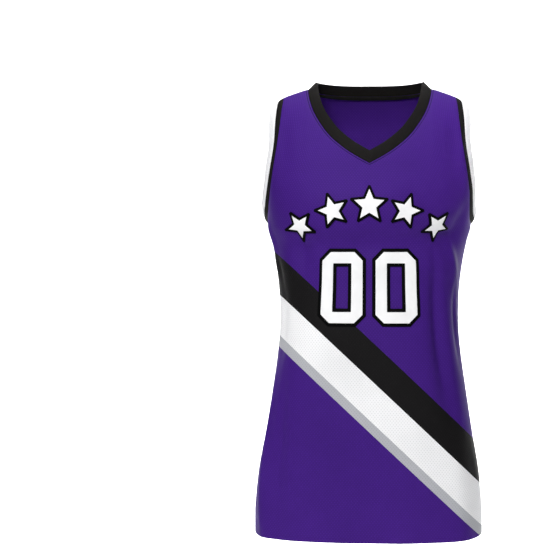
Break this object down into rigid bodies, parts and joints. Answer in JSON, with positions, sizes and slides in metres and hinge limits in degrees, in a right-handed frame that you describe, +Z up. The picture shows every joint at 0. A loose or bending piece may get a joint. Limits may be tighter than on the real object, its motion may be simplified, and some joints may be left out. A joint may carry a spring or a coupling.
{
  "type": "basketball jersey",
  "caption": "Sleeveless V-neck basketball jersey in a shaped women's cut, hollow as if worn, with double armhole trims, applied block numerals and a diagonal stripe.",
  "frame": {"origin": "midway between the two points where the collar crosses the shoulder seams, where the wearer's shoulders carry it", "axes": "+Z up, -Y out of the front, +X to the right of someone who looks at the front"},
  "size_m": [0.3512, 0.2324, 0.6922],
  "materials": {
    "mesh_purple": "matte polyester micro-mesh knit, deep purple",
    "rib_black": "matte flat-knit trim, black",
    "rib_white": "matte flat-knit trim, white",
    "tape_grey": "woven neck tape, dark grey",
    "twill_black": "tackle twill, black, slight sheen",
    "twill_white": "tackle twill, white, slight sheen"
  },
  "bodies": {
    "root": {"front_panel": "mesh_purple", "back_panel": "mesh_purple", "neck_band": "rib_black", "neck_tape": "tape_grey", "armhole_band_black_left": "rib_black", "armhole_band_black_right": "rib_black", "armhole_band_white_left": "rib_white", "armhole_band_white_right": "rib_white", "front_numeral_backing_left": "twill_black", "front_numeral_face_left": "twill_white", "front_numeral_backing_right": "twill_black", "front_numeral_face_right": "twill_white", "back_numeral_backing_left": "twill_black", "back_numeral_face_left": "twill_white", "back_numeral_backing_right": "twill_black", "back_numeral_face_right": "twill_white"}
  },
  "joints": []
}
